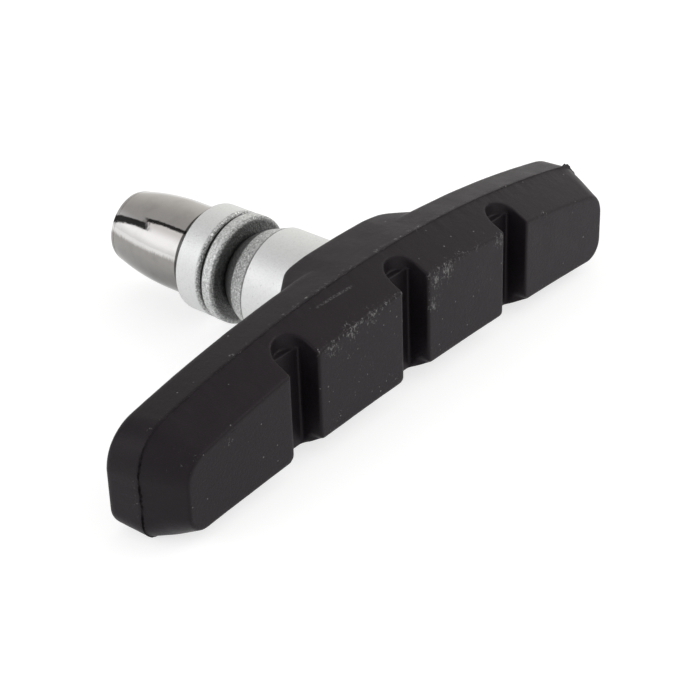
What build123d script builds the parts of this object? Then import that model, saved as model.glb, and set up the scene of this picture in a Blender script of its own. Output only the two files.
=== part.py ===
"""Rim brake pad with a threaded stud, swivel washers and a cap nut, in millimetres.

X runs along the pad, +Y along the stud away from the rim and +Z is up.
Depths are measured along Y from the braking face while the pieces are made.
The finished pieces are then moved so that the origin lies on the stud's axis,
in the plane between the two cups where a brake arm is clamped.
"""
import os
from math import radians, sqrt, tan

from build123d import *

os.makedirs("parts", exist_ok=True)

# Rubber block: heights are measured at mid length from the stud's axis
FACE_LENGTH = 68.5
FACE_TOP = 6.4
FACE_BOTTOM = 4.3
FACE_TOP_CORNER = 3.0
BLOCK_LENGTH = 72.7
BLOCK_TOP = 8.7
BLOCK_BOTTOM = 5.9
BLOCK_TOP_CORNER = 5.0
BACK_LENGTH = 74.0
BACK_TOP = 8.1
BACK_BOTTOM = 5.3
BOTTOM_CORNER = 2.2
SHOULDER_CORNER = 3.4
PARTING_DEPTH = 4.6
BACK_DEPTH = 8.7
CHAMFER_DEPTH = 2.7
TOP_ROCKER = 151.0
BOTTOM_ROCKER = 454.0
BACK_EDGE_ROUND = 0.7

# Water grooves across the braking face, each running out through a half-round scoop
GROOVE_COUNT = 3
GROOVE_PITCH = 17.5
GROOVE_WIDTH = 4.2
GROOVE_DEPTH = 2.7
SCOOP_FALL = 2.25
SCOOP_DEPTH = 3.6

# Boss on the back that carries the washers
BOSS_HEIGHT = 2.4
BOSS_LENGTH = 15.6
BOSS_FOOT = 22.6
BOSS_ROUND = 3.0

# Steel insert plate moulded into the block
PLATE_LENGTH = 54.0
PLATE_HEIGHT = 7.4
PLATE_THICKNESS = 1.8
PLATE_COVER = 0.9
KEY_HOLE_RADIUS = 2.2
KEY_HOLE_PITCH = 9.5
KEY_HOLES_PER_SIDE = 2

# Threaded stud, riveted to the plate
STUD_RADIUS = 3.0
STUD_HEAD_RADIUS = 4.3
STUD_HEAD_THICKNESS = 1.2
STUD_HEAD_ROUND = 0.6
COLLAR_RADIUS = 4.4
RELIEF_RADIUS = 2.4
RELIEF_LENGTH = 1.2
STUD_CHAMFER = 0.7
THREAD_GRIP = 5.5

# Swivel washers: two ball-and-cup pairs
BORE_CLEARANCE = 0.2
SWIVEL_CLEARANCE = 0.5
SEAT_CLEARANCE = 0.03
SPACER_RADIUS = 6.25
SPACER_LENGTH = 7.8
SPACER_TAPER = 2.4
SPACER_RIM = 5.35
SPACER_EDGE = 0.3
INNER_BALL = 5.8
INNER_CUP_RADIUS = 6.25
INNER_CUP_THICKNESS = 1.65
INNER_CUP_MOUTH = 4.0
INNER_CUP_ROUND = 0.4
OUTER_CUP_RADIUS = 6.2
OUTER_CUP_THICKNESS = 3.8
OUTER_CUP_CHAMFER = 0.7
OUTER_CUP_ROUND = 0.25
OUTER_BALL = 7.5
OUTER_CUP_MOUTH = 4.75
OUTER_BALL_RADIUS = 4.6
OUTER_BALL_PROUD = 0.45

# Cap nut
NUT_RADIUS = 5.17
NUT_LENGTH = 11.75
NUT_STRAIGHT = 3.6
NUT_BARREL = 31.0
NUT_TIP_ROUND = 1.0
NUT_BASE_CHAMFER = 0.3
THREAD_CLEARANCE = 0.05
BLIND_ROOM = 0.5
DRILL_POINT_ANGLE = 31.0
SOCKET_ACROSS_FLATS = 5.0
SOCKET_DEPTH = 3.2
SOCKET_LEAD = 0.15

# Places along the stud, each carried on from the piece before it
PLATE_BACK = BACK_DEPTH - PLATE_COVER
PLATE_FRONT = PLATE_BACK - PLATE_THICKNESS
SEAT = BACK_DEPTH + BOSS_HEIGHT
SPACER_END = SEAT + SPACER_LENGTH
SPACER_RIM_AT = SPACER_END + SPACER_TAPER
INNER_CENTRE = SPACER_RIM_AT - sqrt(INNER_BALL**2 - SPACER_RIM**2)
INNER_CUP_BALL = INNER_BALL + SEAT_CLEARANCE
INNER_CUP_FRONT = INNER_CENTRE + sqrt(INNER_CUP_BALL**2 - INNER_CUP_MOUTH**2)
INNER_CUP_BACK = INNER_CUP_FRONT + INNER_CUP_THICKNESS
OUTER_CUP_BACK = INNER_CUP_BACK + OUTER_CUP_THICKNESS
OUTER_CUP_BALL = OUTER_BALL + SEAT_CLEARANCE
OUTER_CENTRE = OUTER_CUP_BACK + sqrt(OUTER_CUP_BALL**2 - OUTER_CUP_MOUTH**2)
NUT_BASE = OUTER_CUP_BACK + OUTER_BALL_PROUD
NUT_TIP = NUT_BASE + NUT_LENGTH
STUD_END = NUT_BASE + THREAD_GRIP
CLOSE_BORE = STUD_RADIUS + BORE_CLEARANCE
SWIVEL_BORE = STUD_RADIUS + SWIVEL_CLEARANCE


def rocker_drop(radius, x):
    """How far an edge of this rocker radius has dropped at x from mid length."""
    return radius - sqrt(radius**2 - x**2)


def outline(depth, length, top, bottom, top_corner, bottom_corner=BOTTOM_CORNER):
    """Rounded outline of the block at one depth: humped above, hollow below."""
    half = length / 2
    top_end = top - rocker_drop(TOP_ROCKER, half)
    bottom_end = -bottom - rocker_drop(BOTTOM_ROCKER, half)
    upper = ThreePointArc((-half, top_end), (0, top), (half, top_end))
    right = Line((half, top_end), (half, bottom_end))
    lower = ThreePointArc((half, bottom_end), (0, -bottom), (-half, bottom_end))
    left = Line((-half, bottom_end), (-half, top_end))
    face = make_face([upper, right, lower, left])
    face = fillet(face.vertices().sort_by(Axis.Y)[-2:], top_corner)
    face = fillet(face.vertices().sort_by(Axis.Y)[:2], bottom_corner)
    return Plane.XZ.offset(-depth) * face


def between(start, end, depth):
    """Value on the straight bevel from the braking face to the parting line."""
    return start + (end - start) * depth / PARTING_DEPTH


def turned(edges, rounds=()):
    """Solid turned about the stud's axis from (radius, y) edges, with rounded corners."""
    face = make_face(edges)
    for point, radius in rounds:
        corner = face.vertices().sort_by_distance((point[0], point[1], 0))[0]
        face = fillet(corner, radius)
    return revolve(face, Axis.Y)


def on_ball(centre, radius, r, side):
    """Point of a ball seat at distance r from the axis, on its +Y or -Y side."""
    return (r, centre + side * sqrt(radius**2 - r**2))


def ball_arc(centre, radius, r_from, r_to, side):
    """Arc of a ball seat between two distances from the axis."""
    stations = (r_from, (r_from + r_to) / 2, r_to)
    return ThreePointArc(*[on_ball(centre, radius, r, side) for r in stations])


def groove_cut(x):
    """Cutter for one groove: a straight slot, then an upright scoop out through the bevel."""
    top = BLOCK_TOP - rocker_drop(TOP_ROCKER, x)
    step = top - SCOOP_FALL
    foot = -BLOCK_BOTTOM - rocker_drop(BOTTOM_ROCKER, FACE_LENGTH / 2)
    half = GROOVE_WIDTH / 2
    straight = SCOOP_DEPTH - half
    slot = make_face(
        Polyline(
            (x - half, 0),
            (x - half, GROOVE_DEPTH),
            (x + half, GROOVE_DEPTH),
            (x + half, 0),
            close=True,
        )
    )
    scoop = make_face(
        [
            Polyline((x + half, straight), (x + half, 0), (x - half, 0), (x - half, straight)),
            ThreePointArc((x - half, straight), (x, SCOOP_DEPTH), (x + half, straight)),
        ]
    )
    lower = extrude(Plane.XY.offset(foot) * slot, step - foot)
    upper = extrude(Plane.XY.offset(step) * scoop, top - step)
    return lower + upper


def rim_edges(faces):
    """Edges around the outside of a run of neighbouring faces."""
    edges = [e for f in faces for e in f.edges()]
    return [e for e in edges if sum(e.is_same(other) for other in edges) == 1]


# Rubber block, lofted from the braking face over the bevels to the back
chamfer_length = between(FACE_LENGTH, BLOCK_LENGTH, CHAMFER_DEPTH)
chamfer_top = between(FACE_TOP, BLOCK_TOP, CHAMFER_DEPTH)
chamfer_corner = between(FACE_TOP_CORNER, BLOCK_TOP_CORNER, CHAMFER_DEPTH)
shoulder = outline(
    CHAMFER_DEPTH, chamfer_length, chamfer_top, BLOCK_BOTTOM, chamfer_corner, SHOULDER_CORNER
)
back = outline(BACK_DEPTH, BACK_LENGTH, BACK_TOP, BACK_BOTTOM, BLOCK_TOP_CORNER)
brake_block = loft(
    [
        outline(0, FACE_LENGTH, FACE_TOP, FACE_BOTTOM, FACE_TOP_CORNER),
        shoulder,
        outline(PARTING_DEPTH, BLOCK_LENGTH, BLOCK_TOP, BLOCK_BOTTOM, BLOCK_TOP_CORNER),
        back,
    ],
    ruled=True,
)

brake_block = fillet(brake_block.faces().sort_by(Axis.Y)[-1].edges(), BACK_EDGE_ROUND)

# Boss: a ramped bridge that follows the block's upper and lower walls
ramp_run = (BOSS_FOOT - BOSS_LENGTH) / 2 / BOSS_HEIGHT
root = BOSS_FOOT / 2 + PLATE_COVER * ramp_run
boss_profile = Polyline(
    (-root, BACK_DEPTH - PLATE_COVER),
    (-BOSS_LENGTH / 2, SEAT),
    (BOSS_LENGTH / 2, SEAT),
    (root, BACK_DEPTH - PLATE_COVER),
    close=True,
)
boss_face = make_face(boss_profile)
boss_face = fillet(boss_face.vertices().sort_by(Axis.Y)[-2:], BOSS_ROUND)
boss = extrude(boss_face, BLOCK_TOP + 2 * BLOCK_BOTTOM, both=True)
boss &= extrude(back, PLATE_COVER) + extrude(back, -BOSS_HEIGHT)
boss_backs = [f for f in boss.faces() if f.normal_at().Y > 0.1]
boss = fillet(rim_edges(boss_backs), BACK_EDGE_ROUND)
brake_block += boss

for index in range(GROOVE_COUNT):
    brake_block -= groove_cut((index - (GROOVE_COUNT - 1) / 2) * GROOVE_PITCH)

# Insert plate: a stamped strip with key holes that the rubber flows through
plate_sketch = SlotOverall(PLATE_LENGTH, PLATE_HEIGHT)
plate_sketch -= Circle(STUD_RADIUS)
for side in (-1, 1):
    for index in range(KEY_HOLES_PER_SIDE):
        plate_sketch -= Pos(side * (index + 1) * KEY_HOLE_PITCH, 0) * Circle(KEY_HOLE_RADIUS)
backing_plate = extrude(Plane.XZ.offset(-PLATE_FRONT) * plate_sketch, -PLATE_THICKNESS)

# Stud: riveted head, collar flush with the boss, thread relief and plain thread blank
head_front = PLATE_FRONT - STUD_HEAD_THICKNESS
relief_end = SEAT + RELIEF_LENGTH
threaded_stud = turned(
    Polyline(
        (0, head_front),
        (STUD_HEAD_RADIUS, head_front),
        (STUD_HEAD_RADIUS, PLATE_FRONT),
        (STUD_RADIUS, PLATE_FRONT),
        (STUD_RADIUS, PLATE_BACK),
        (COLLAR_RADIUS, PLATE_BACK),
        (COLLAR_RADIUS, SEAT),
        (RELIEF_RADIUS, SEAT),
        (RELIEF_RADIUS, relief_end),
        (STUD_RADIUS, relief_end + STUD_RADIUS - RELIEF_RADIUS),
        (STUD_RADIUS, STUD_END - STUD_CHAMFER),
        (STUD_RADIUS - STUD_CHAMFER, STUD_END),
        (0, STUD_END),
        close=True,
    ),
    [((STUD_HEAD_RADIUS, head_front), STUD_HEAD_ROUND)],
)
brake_block -= backing_plate
brake_block -= threaded_stud

# Inner pair: a long spacer with a ball end, and a thin cup
dome_start = on_ball(INNER_CENTRE, INNER_BALL, SPACER_RIM, 1)
dome_end = on_ball(INNER_CENTRE, INNER_BALL, CLOSE_BORE, 1)
ball_spacer = turned(
    [
        Polyline(
            dome_end,
            (CLOSE_BORE, SEAT),
            (SPACER_RADIUS - SPACER_EDGE, SEAT),
            (SPACER_RADIUS, SEAT + SPACER_EDGE),
            (SPACER_RADIUS, SPACER_END),
            dome_start,
        ),
        ball_arc(INNER_CENTRE, INNER_BALL, SPACER_RIM, CLOSE_BORE, 1),
    ]
)
mouth = on_ball(INNER_CENTRE, INNER_CUP_BALL, INNER_CUP_MOUTH, 1)
throat = on_ball(INNER_CENTRE, INNER_CUP_BALL, SWIVEL_BORE, 1)
inner_cup_washer = turned(
    [
        Polyline(
            mouth,
            (INNER_CUP_RADIUS, INNER_CUP_FRONT),
            (INNER_CUP_RADIUS, INNER_CUP_BACK),
            (SWIVEL_BORE, INNER_CUP_BACK),
            throat,
        ),
        ball_arc(INNER_CENTRE, INNER_CUP_BALL, SWIVEL_BORE, INNER_CUP_MOUTH, 1),
    ],
    [
        ((INNER_CUP_RADIUS, INNER_CUP_FRONT), INNER_CUP_ROUND),
        ((INNER_CUP_RADIUS, INNER_CUP_BACK), INNER_CUP_ROUND),
    ],
)

# Outer pair: a thick cup and the ball washer that sits in it under the nut
mouth = on_ball(OUTER_CENTRE, OUTER_CUP_BALL, OUTER_CUP_MOUTH, -1)
throat = on_ball(OUTER_CENTRE, OUTER_CUP_BALL, SWIVEL_BORE, -1)
outer_cup_washer = turned(
    [
        Polyline(
            throat,
            (SWIVEL_BORE, INNER_CUP_BACK),
            (OUTER_CUP_RADIUS - OUTER_CUP_CHAMFER, INNER_CUP_BACK),
            (OUTER_CUP_RADIUS, INNER_CUP_BACK + OUTER_CUP_CHAMFER),
            (OUTER_CUP_RADIUS, OUTER_CUP_BACK),
            mouth,
        ),
        ball_arc(OUTER_CENTRE, OUTER_CUP_BALL, OUTER_CUP_MOUTH, SWIVEL_BORE, -1),
    ],
    [((OUTER_CUP_RADIUS, OUTER_CUP_BACK), OUTER_CUP_ROUND)],
)
dome_start = on_ball(OUTER_CENTRE, OUTER_BALL, OUTER_BALL_RADIUS, -1)
dome_end = on_ball(OUTER_CENTRE, OUTER_BALL, CLOSE_BORE, -1)
outer_ball_washer = turned(
    [
        Polyline(
            dome_end,
            (CLOSE_BORE, NUT_BASE),
            (OUTER_BALL_RADIUS, NUT_BASE),
            dome_start,
        ),
        ball_arc(OUTER_CENTRE, OUTER_BALL, OUTER_BALL_RADIUS, CLOSE_BORE, -1),
    ]
)

# Cap nut: bullet-shaped barrel, blind thread bore and a hexagon socket in its tip
thread_bore = STUD_RADIUS + THREAD_CLEARANCE
bore_end = STUD_END + BLIND_ROOM
drill_tip = bore_end + thread_bore * tan(radians(DRILL_POINT_ANGLE))
barrel_start = NUT_BASE + NUT_STRAIGHT
barrel_axis = NUT_RADIUS - NUT_BARREL
tip_radius = barrel_axis + sqrt(NUT_BARREL**2 - (NUT_TIP - barrel_start) ** 2)
barrel_mid = (NUT_TIP + barrel_start) / 2
barrel = ThreePointArc(
    (NUT_RADIUS, barrel_start),
    (barrel_axis + sqrt(NUT_BARREL**2 - (barrel_mid - barrel_start) ** 2), barrel_mid),
    (tip_radius, NUT_TIP),
)
cap_nut = turned(
    [
        Polyline(
            (0, NUT_TIP),
            (0, drill_tip),
            (thread_bore, bore_end),
            (thread_bore, NUT_BASE),
            (NUT_RADIUS - NUT_BASE_CHAMFER, NUT_BASE),
            (NUT_RADIUS, NUT_BASE + NUT_BASE_CHAMFER),
            (NUT_RADIUS, barrel_start),
        ),
        barrel,
        Line((tip_radius, NUT_TIP), (0, NUT_TIP)),
    ],
    [((tip_radius, NUT_TIP), NUT_TIP_ROUND)],
)
tip_plane = Plane((0, NUT_TIP, 0), x_dir=(1, 0, 0), z_dir=(0, 1, 0))
hexagon = RegularPolygon(SOCKET_ACROSS_FLATS / 2, 6, major_radius=False)
cap_nut -= extrude(tip_plane * hexagon, -SOCKET_DEPTH)
lead_radius = SOCKET_ACROSS_FLATS / sqrt(3) + SOCKET_LEAD
lead_depth = lead_radius * tan(radians(DRILL_POINT_ANGLE))
cap_nut -= turned(
    Polyline((0, NUT_TIP), (lead_radius, NUT_TIP), (0, NUT_TIP - lead_depth), close=True)
)

pieces = {
    "brake_block": brake_block,
    "backing_plate": backing_plate,
    "threaded_stud": threaded_stud,
    "ball_spacer": ball_spacer,
    "inner_cup_washer": inner_cup_washer,
    "outer_cup_washer": outer_cup_washer,
    "outer_ball_washer": outer_ball_washer,
    "cap_nut": cap_nut,
}
for name, piece in pieces.items():
    placed = Pos(0, -INNER_CUP_BACK, 0) * piece
    placed.label = name
    export_step(placed, f"parts/{name}.step")
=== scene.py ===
"""Dresses a bicycle rim brake pad: moulded rubber, satin washers, a polished nut and a white studio.

Lengths are in metres in the pad's own frame: X along the pad, +Y along the stud away from the rim, +Z up.
"""
from math import asin, atan2, cos, hypot, pi, radians, sin, sqrt, tan
from typing import NamedTuple

import bmesh
import bpy
import numpy as np
from mathutils import Matrix, Vector, noise


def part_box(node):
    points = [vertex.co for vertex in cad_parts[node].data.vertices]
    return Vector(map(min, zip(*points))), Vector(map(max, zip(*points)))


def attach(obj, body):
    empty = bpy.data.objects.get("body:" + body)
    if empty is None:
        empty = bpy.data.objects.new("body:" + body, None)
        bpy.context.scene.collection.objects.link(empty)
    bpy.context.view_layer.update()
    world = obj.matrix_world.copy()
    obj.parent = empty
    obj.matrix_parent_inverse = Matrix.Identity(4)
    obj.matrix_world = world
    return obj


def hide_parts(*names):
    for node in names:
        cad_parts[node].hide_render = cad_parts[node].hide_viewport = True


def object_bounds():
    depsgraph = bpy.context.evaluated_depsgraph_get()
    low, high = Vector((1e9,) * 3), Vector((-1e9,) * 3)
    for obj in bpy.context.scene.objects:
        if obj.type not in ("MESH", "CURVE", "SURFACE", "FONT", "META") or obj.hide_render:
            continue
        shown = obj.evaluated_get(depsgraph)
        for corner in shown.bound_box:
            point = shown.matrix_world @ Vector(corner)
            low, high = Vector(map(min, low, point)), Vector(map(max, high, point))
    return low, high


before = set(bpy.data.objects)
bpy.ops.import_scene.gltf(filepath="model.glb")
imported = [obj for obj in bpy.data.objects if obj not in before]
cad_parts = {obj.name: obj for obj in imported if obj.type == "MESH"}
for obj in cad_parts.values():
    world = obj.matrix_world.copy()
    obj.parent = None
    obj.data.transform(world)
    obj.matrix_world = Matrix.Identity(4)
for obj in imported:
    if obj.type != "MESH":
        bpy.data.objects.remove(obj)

bl_info = {
    "name": "Rim Brake Pad",
    "version": (1, 0, 0),
    "blender": (4, 5, 0),
    "location": "3D View > Sidebar > Brake Pad",
    "description": "Models and finishes a rim brake pad with its stud, swivel washers and cap nut",
    "category": "Object",
}

CAD_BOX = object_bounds()
MM = 0.001
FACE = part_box("brake_block")[0].y
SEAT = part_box("brake_block")[1].y


def number(name, description, default, **kind):
    """A number property of some kind."""
    return bpy.props.FloatProperty(name=name, description=description, default=default, **kind)


def length(name, description, millimetres):
    """A length property, written in millimetres and held in metres."""
    return number(name, description, millimetres * MM, min=0.0, precision=5, unit="LENGTH")


def angle(name, description, degrees):
    """An angle property, written in degrees and held in radians."""
    return number(name, description, radians(degrees), subtype="ANGLE")


def share(name, description, value, maximum=1.0):
    """A plain number property, such as a roughness or a brightness."""
    return number(name, description, value, min=0.0, max=maximum, subtype="FACTOR")


def colour(name, description, red, green, blue):
    """A colour property with linear components."""
    return bpy.props.FloatVectorProperty(
        name=name, description=description, default=(red, green, blue, 1.0), size=4, min=0.0, max=1.0,
        subtype="COLOR",
    )


class BlockSizes(bpy.types.PropertyGroup):
    """Sizes of the moulded rubber block, with heights from the stud's axis at mid length."""

    face_length: length("Face length", "Braking face from end to end", 68.9)
    face_top: length("Face top", "Height of the braking face's upper edge", 6.4)
    face_bottom: length("Face bottom", "Depth of the braking face's lower edge", 4.36)
    face_corner: length("Face corner", "Upper corner radius of the braking face", 3.0)
    shoulder_depth: length("Shoulder depth", "Depth at which the lower bevel ends", 2.7)
    shoulder_corner: length("Shoulder corner", "Lower corner radius where the lower bevel ends", 3.4)
    parting_depth: length("Parting depth", "Depth of the mould's parting line", 4.6)
    parting_length: length("Parting length", "Block from end to end at the parting line", 72.9)
    parting_top: length("Parting top", "Height of the upper parting line", 8.7)
    parting_bottom: length("Parting bottom", "Depth of the lower parting line", 5.9)
    top_corner: length("Top corner", "Upper corner radius from the parting line to the back", 5.0)
    bottom_corner: length("Bottom corner", "Lower corner radius", 2.2)
    back_depth: length("Back depth", "Thickness of the block without its boss", 8.7)
    back_length: length("Back length", "Back from end to end", 74.0)
    back_top: length("Back top", "Height of the back's upper edge", 8.3)
    back_bottom: length("Back bottom", "Depth of the back's lower edge", 5.3)
    top_rocker: length("Top rocker", "Radius of the humped upper edges", 151.0)
    bottom_rocker: length("Bottom rocker", "Radius of the hollow lower edges", 454.0)
    back_round: length("Back round", "Rounding of the back's rim", 0.7)
    boss_length: length("Boss length", "Flat top of the boss", 15.6)
    boss_foot: length("Boss foot", "Foot of the boss", 22.6)
    boss_round: length("Boss round", "Rounding between the boss's top and its ramps", 3.0)
    boss_rim: length("Boss rim", "Rounding of the boss's long edges", 0.5)
    boss_rise: length("Boss rise", "How far the boss's long edges stand out from the strip's", 0.15)
    boss_nose: length("Boss nose", "How far the boss's long edges draw in at its foot", 0.72)
    groove_pitch: length("Groove pitch", "Distance between water grooves", 17.5)
    groove_width: length("Groove width", "Width of a water groove", 4.1)
    groove_depth: length("Groove depth", "Depth of a water groove", 2.7)
    groove_flare: length("Groove flare", "Rounding of the blocks' lower corners beside a groove", 0.5)
    scoop_fall: length("Scoop fall", "Foot of a groove's scoop below the upper parting line", 2.25)
    scoop_depth: length("Scoop depth", "Depth of the half-round scoop at its middle", 3.6)
    ledge: length("Ledge", "How far the strip stands proud of the bevel at the parting line", 0.08)
    waviness: length("Waviness", "Unevenness of the moulded skin", 0.05)
    voxel: length("Skin grain", "Mesh size of the moulded skin", 0.12)


class FlashSizes(bpy.types.PropertyGroup):
    """Sizes of the thin ragged flash on the parting line."""

    thickness: length("Thickness", "Thickness of the flash", 0.09)
    root: length("Root", "How deep the flash is rooted in the block", 0.25)
    fringe: length("Fringe", "Usual height of the fringe", 0.05)
    tatter: length("Tatter", "How much the fringe's height varies", 0.10)
    nib: length("Nib", "Height of the torn nib on the upper corner", 0.34)


class HardwareSizes(bpy.types.PropertyGroup):
    """Sizes of the stud, the swivel washers and the nut."""

    stud_radius: length("Stud radius", "Outside of the stud's thread", 3.0)
    thread_depth: length("Thread depth", "Depth of the stud's thread", 0.55)
    thread_pitch: length("Thread pitch", "Pitch of the stud's thread", 1.0)
    bore: length("Bore", "Radius of the bores that fit the stud closely", 3.2)
    swivel_bore: length("Swivel bore", "Radius of the bores that leave room to swivel", 3.5)
    spacer_length: length("Spacer length", "Straight wall of the spacer", 7.8)
    spacer_taper: length("Spacer taper", "Length of the spacer's tapered end", 2.4)
    spacer_rim: length("Spacer rim", "Radius where the taper meets the ball", 5.35)
    inner_ball: length("Inner ball", "Radius of the spacer's ball end", 5.8)
    inner_mouth: length("Inner mouth", "Radius of the inner cup's seat at its mouth", 4.0)
    inner_round: length("Inner round", "Edge rounding of the inner cup", 0.4)
    washer_slot: length("Washer slot", "Dark slot between the two cups", 0.3)
    outer_chamfer: length("Outer chamfer", "Front chamfer of the outer cup", 0.35)
    outer_round: length("Outer round", "Edge rounding of the outer cup", 0.25)
    outer_ball: length("Outer ball", "Radius of the ball washer under the nut", 7.5)
    outer_mouth: length("Outer mouth", "Radius of the outer cup's seat at its mouth", 4.75)
    seat_clearance: length("Seat clearance", "Room between a ball and its cup", 0.03)
    crisp_edge: length("Crisp edge", "Rounding of turned edges that look sharp", 0.08)
    nut_straight: length("Nut straight", "Straight wall at the nut's base", 3.6)
    nut_barrel: length("Nut barrel", "Radius of the nut's barrel curve", 31.0)
    nut_tip_round: length("Nut tip round", "Rounding of the nut's tip", 1.0)
    nut_base_chamfer: length("Nut base chamfer", "Chamfer at the nut's base", 0.3)
    nut_bore: length("Nut bore", "Radius of the nut's thread bore", 3.05)
    nut_bore_depth: length("Nut bore depth", "Depth of the nut's thread bore", 6.0)
    socket_flats: length("Socket flats", "Hexagon socket across its flats", 5.0)
    socket_depth: length("Socket depth", "Depth of the hexagon socket", 3.2)
    socket_lead: length("Socket lead", "Lead-in beyond the hexagon's corners", 0.15)


class Finishes(bpy.types.PropertyGroup):
    """Colours and roughnesses of the pad's materials."""

    rubber: colour("Rubber", "Moulded rubber", 0.0122, 0.0098, 0.0121)
    rubber_bloom: colour("Rubber bloom", "Greyer rubber where wax shows", 0.016, 0.0134, 0.0158)
    rubber_gloss: share("Rubber gloss", "Strength of the rubber's sheen", 0.155)
    rubber_sheen: colour("Rubber sheen", "Tint of the rubber's sheen", 1.0, 0.91, 0.97)
    # Also lightens the rubber's edges, where it partly stands for a painted highlight
    dust_and_highlight: colour("Dust", "Chalky specks and scuffs", 0.34, 0.34, 0.33)
    rubber_roughness: share("Rubber roughness", "Roughness of the moulded rubber", 0.43)
    zinc: colour("Zinc", "Satin plating of the washers", 0.74, 0.75, 0.745)
    zinc_shade: colour("Zinc shade", "Hollows between the plating's grains", 0.15, 0.16, 0.15)
    # Painted highlight: bright glints painted on the coarse plating
    painted_glint: colour("Glint", "Bright points of the coarse plating", 0.92, 0.93, 0.92)
    # Painted shade in recesses, gaps and joints; on the nut also its grey smudges
    shade_and_grime: colour("Grime", "Darkened plating in the recesses", 0.03, 0.032, 0.029)
    zinc_roughness: share("Zinc roughness", "Roughness of the satin plating", 0.5)
    # Painted reflection: the bright belt painted on the nut's sides
    chrome_reflection: colour("Chrome belt", "Clear chrome on the nut's sides", 0.66, 0.65, 0.64)
    chrome: colour("Chrome", "Polished nut", 0.42, 0.405, 0.39)
    chrome_roughness: share("Chrome roughness", "Roughness of the polished nut", 0.04)
    steel: colour("Steel", "Stud and insert plate", 0.45, 0.45, 0.43)
    steel_roughness: share("Steel roughness", "Roughness of the stud and the insert plate", 0.38)


class StudioSettings(bpy.types.PropertyGroup):
    """Camera and light of the white studio."""

    lens: number("Lens", "Focal length on a 36 mm sensor", 104.58, min=10.0, unit="CAMERA")
    eye: bpy.props.FloatVectorProperty(
        name="Eye", description="Place of the camera", default=(-0.141618, -0.136529, 0.109702),
        precision=5, subtype="TRANSLATION",
    )
    azimuth: angle("Azimuth", "Turn of the camera about the upright axis", -49.554)
    elevation: angle("Elevation", "Height of the camera's line above the floor", 31.649)
    roll: angle("Roll", "Lean of the camera about its own line", -1.807)
    floor_colour: colour("Floor", "Pale floor", 0.44, 0.44, 0.44)
    floor_glow: share("Floor glow", "White that the camera and reflections see in the floor", 0.70)
    tent: share("Tent", "Brightness of the tent round the pad", 0.82, 3.0)
    wall: share("Wall", "Brightness of the white wall to the left, behind the pad", 1.33, 3.0)
    seam: share("Seam", "Brightness of the seam over the white wall", 0.04, 3.0)


class BrakePadSettings(bpy.types.PropertyGroup):
    """All settings of the brake pad."""

    block: bpy.props.PointerProperty(type=BlockSizes)
    flash: bpy.props.PointerProperty(type=FlashSizes)
    hardware: bpy.props.PointerProperty(type=HardwareSizes)
    finishes: bpy.props.PointerProperty(type=Finishes)
    studio: bpy.props.PointerProperty(type=StudioSettings)


# Node trees


def arithmetic(operation):
    """An operator that adds a Math node to its value's tree, and the operator's reflected form."""

    def forward(first, second):
        return first.math(operation, first, second)

    def reflected(second, first):
        return second.math(operation, first, second)

    return forward, reflected


class Value:
    """One node output, on which arithmetic adds Math nodes to its tree."""

    def __init__(self, graph, socket):
        self.graph = graph
        self.socket = socket

    def math(self, operation, *operands):
        """A Math node on these operands, in their order."""
        return self.graph.add("ShaderNodeMath", {"operation": operation}, dict(enumerate(operands)))

    def out(self, name):
        """Another output of the same node."""
        return Value(self.graph, self.socket.node.outputs[name])

    def at_least(self, other):
        """The greater of two values."""
        return self.math("MAXIMUM", self, other)

    def __abs__(self):
        return self.math("ABSOLUTE", self)

    __add__, __radd__ = arithmetic("ADD")
    __sub__, __rsub__ = arithmetic("SUBTRACT")
    __mul__, __rmul__ = arithmetic("MULTIPLY")
    __truediv__, __rtruediv__ = arithmetic("DIVIDE")
    __pow__, __rpow__ = arithmetic("POWER")
    __gt__, __lt__ = arithmetic("GREATER_THAN")


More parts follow.
